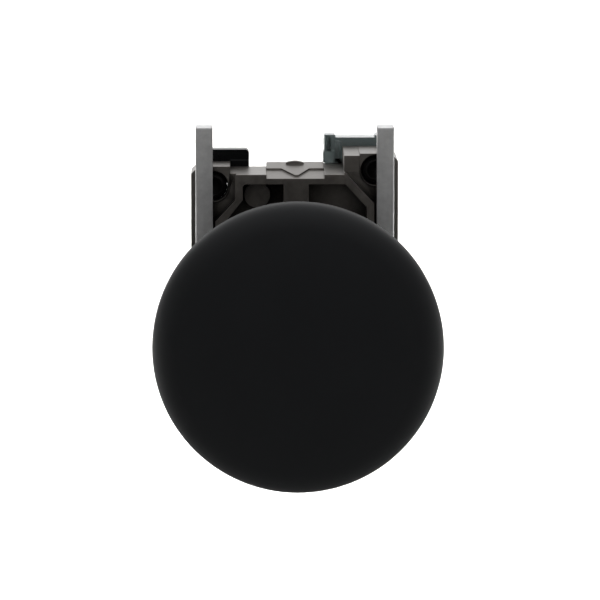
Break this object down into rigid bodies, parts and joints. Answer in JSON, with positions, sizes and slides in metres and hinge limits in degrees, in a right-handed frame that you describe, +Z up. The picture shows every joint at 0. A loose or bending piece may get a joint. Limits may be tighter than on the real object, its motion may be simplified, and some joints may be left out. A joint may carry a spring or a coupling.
{
  "type": "industrial push button",
  "caption": "Black mushroom-head push button on a chromed bezel, with a cast panel clamp behind it and a screw-terminal contact block.",
  "frame": {"origin": "centre of the panel hole on the panel's front face, where the gasket seats", "axes": "+X to the operator's right, +Y rearward into the panel along the push axis, +Z up"},
  "size_m": [0.04, 0.082, 0.047],
  "materials": {
    "cap_plastic": "moulded black nylon, fine satin",
    "bezel_chrome": "polished chromium plate on zinc",
    "gasket_rubber": "moulded nitrile rubber",
    "seal_rubber": "moulded nitrile rubber",
    "spring_steel": "drawn stainless spring wire",
    "ring_steel": "stamped and zinc plated steel",
    "stem_plastic": "moulded pale grey acetal",
    "driver_plastic": "moulded dark grey acetal",
    "collar_zinc": "as-cast zinc alloy",
    "bar_steel": "zinc plated and brushed steel strip",
    "clamp_screw_steel": "black oxide steel",
    "lever_plastic": "moulded black nylon",
    "block_shell": "smoke grey polycarbonate",
    "block_green": "moulded green acetal",
    "contact_brass": "stamped brass strip",
    "contact_silver": "silver nickel contact",
    "terminal_steel": "nickel plated steel"
  },
  "bodies": {
    "base": {"return_spring": "spring_steel", "bezel": "bezel_chrome", "panel_gasket": "gasket_rubber", "wiper_seal": "seal_rubber", "spring_seat": "ring_steel", "mounting_collar": "collar_zinc", "ring_retainer": "ring_steel", "block_housing": "block_shell", "block_cover": "block_shell", "block_return_spring": "spring_steel", "fixed_contact_upper": "contact_brass", "fixed_contact_lower": "contact_brass", "fixed_tip_upper": "contact_silver", "fixed_tip_lower": "contact_silver", "terminal_nut_upper": "terminal_steel", "terminal_nut_lower": "terminal_steel"},
    "button": {"mushroom_cap": "cap_plastic", "cap_skirt": "cap_plastic", "plunger": "stem_plastic", "retaining_ring": "ring_steel", "driver_disc": "driver_plastic"},
    "block_plunger": {"block_plunger": "block_green", "contact_spring": "spring_steel"},
    "bridge": {"contact_bridge": "contact_brass", "bridge_tips": "contact_silver"},
    "latch": {"latch_ring": "ring_steel", "lock_lever": "lever_plastic", "lever_rivets": "ring_steel"},
    "clamp_bar_left": {"clamp_bar_left": "bar_steel"},
    "clamp_screw_left": {"clamp_screw_left": "clamp_screw_steel"},
    "clamp_bar_right": {"clamp_bar_right": "bar_steel"},
    "clamp_screw_right": {"clamp_screw_right": "clamp_screw_steel"},
    "wire_clamp_upper": {"wire_clamp_upper": "terminal_steel"},
    "terminal_screw_upper": {"terminal_screw_upper": "terminal_steel"},
    "wire_clamp_lower": {"wire_clamp_lower": "terminal_steel"},
    "terminal_screw_lower": {"terminal_screw_lower": "terminal_steel"}
  },
  "joints": [
    {"name": "press", "type": "slide", "parent": "base", "child": "button", "axis": [0, 1, 0], "range_m": [0, 0.0043], "stiffness_N_per_m": 600, "springref_m": -0.004, "deforming": ["return_spring", "block_return_spring", "contact_spring"]},
    {"name": "block_plunger_slide", "type": "slide", "parent": "base", "child": "block_plunger", "axis": [0, 1, 0], "range_m": [0, 0.0043]},
    {"name": "bridge_slide", "type": "slide", "parent": "base", "child": "bridge", "axis": [0, 1, 0], "range_m": [0, 0.0026]},
    {"name": "latch_turn", "type": "hinge", "parent": "base", "child": "latch", "pos_m": [0, 0.015, 0], "axis": [0, 1, 0], "range_deg": [0, 24]},
    {"name": "clamp_bar_left_slide", "type": "slide", "parent": "base", "child": "clamp_bar_left", "axis": [0, -1, 0], "range_m": [0, 0.005]},
    {"name": "clamp_screw_left_turn", "type": "hinge", "parent": "clamp_bar_left", "child": "clamp_screw_left", "pos_m": [-0.01173, 0.01375, 0.01817], "axis": [0, -1, 0], "range_deg": [0, 2571.43]},
    {"name": "clamp_bar_right_slide", "type": "slide", "parent": "base", "child": "clamp_bar_right", "axis": [0, -1, 0], "range_m": [0, 0.005]},
    {"name": "clamp_screw_right_turn", "type": "hinge", "parent": "clamp_bar_right", "child": "clamp_screw_right", "pos_m": [0.01173, 0.01375, 0.02046], "axis": [0, -1, 0], "range_deg": [0, 2571.43]},
    {"name": "wire_clamp_upper_slide", "type": "slide", "parent": "base", "child": "wire_clamp_upper", "axis": [0, -1, 0], "range_m": [0, 0.002]},
    {"name": "terminal_screw_upper_turn", "type": "hinge", "parent": "wire_clamp_upper", "child": "terminal_screw_upper", "pos_m": [0.00948, 0.04, 0.0154], "axis": [0, -1, 0], "range_deg": [0, 1200]},
    {"name": "wire_clamp_lower_slide", "type": "slide", "parent": "base", "child": "wire_clamp_lower", "axis": [0, -1, 0], "range_m": [0, 0.002]},
    {"name": "terminal_screw_lower_turn", "type": "hinge", "parent": "wire_clamp_lower", "child": "terminal_screw_lower", "pos_m": [0.00948, 0.04, -0.0102], "axis": [0, -1, 0], "range_deg": [0, 1200]}
  ],
  "couplings": [
    {"joint": "block_plunger_slide", "follows": "press", "ratio": 1},
    {"joint": "bridge_slide", "follows": "press", "ratio": 0.6046},
    {"joint": "clamp_screw_left_turn", "follows": "clamp_bar_left_slide", "rad_per_m": 8976},
    {"joint": "clamp_screw_right_turn", "follows": "clamp_bar_right_slide", "rad_per_m": 8976},
    {"joint": "terminal_screw_upper_turn", "follows": "wire_clamp_upper_slide", "rad_per_m": 10472},
    {"joint": "terminal_screw_lower_turn", "follows": "wire_clamp_lower_slide", "rad_per_m": 10472}
  ]
}
